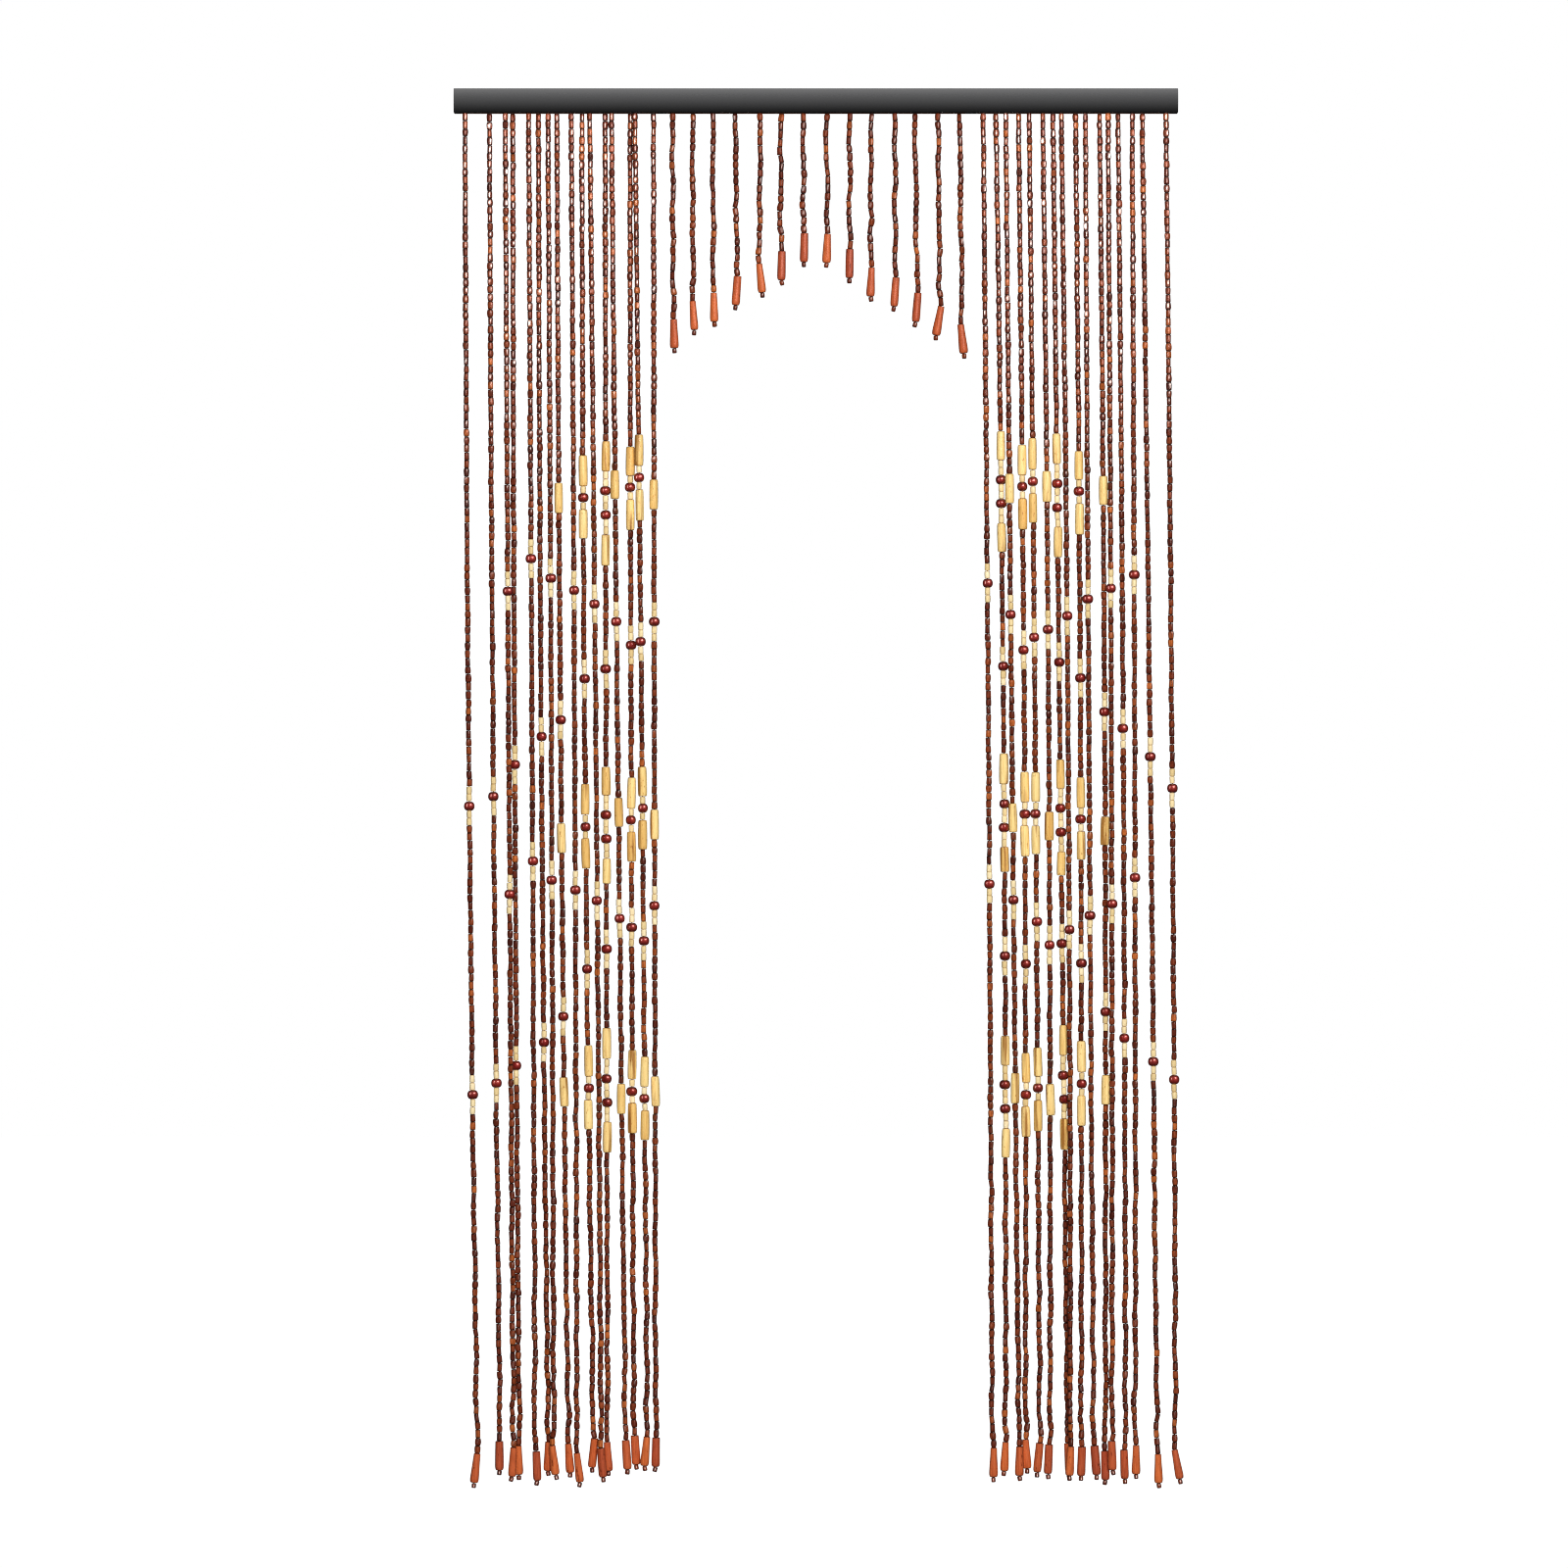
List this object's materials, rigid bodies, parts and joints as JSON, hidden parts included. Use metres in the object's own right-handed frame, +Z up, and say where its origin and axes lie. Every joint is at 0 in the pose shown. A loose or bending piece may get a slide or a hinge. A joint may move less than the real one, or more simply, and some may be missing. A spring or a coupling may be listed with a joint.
{
  "type": "bead curtain with rail",
  "caption": "Wooden bead curtain hanging from a straight rail, with long strands at both sides and short ones in a pointed arch over a doorway.",
  "frame": {"origin": "middle of the rail's flat back face", "axes": "+Z up, +Y out of the rail's back face towards the wall, front of the curtain towards -Y, +X to the viewer's right"},
  "size_m": [0.9059, 0.028, 1.7407],
  "materials": {
    "rail": "satin charcoal paint",
    "bead_brown": "red-brown stain under gloss varnish",
    "bead_cream": "pale natural wood, satin",
    "tube_tan": "pale bamboo, satin",
    "bead_round": "maroon lacquer, gloss",
    "end_tube": "orange-red stain with grain, satin",
    "thread": "dark brown twisted thread"
  },
  "bodies": {
    "root": {"rail": "rail", "curtain_left": "bead_brown", "arch_left": "bead_brown", "arch_right": "bead_brown", "curtain_right": "bead_brown"}
  },
  "joints": []
}
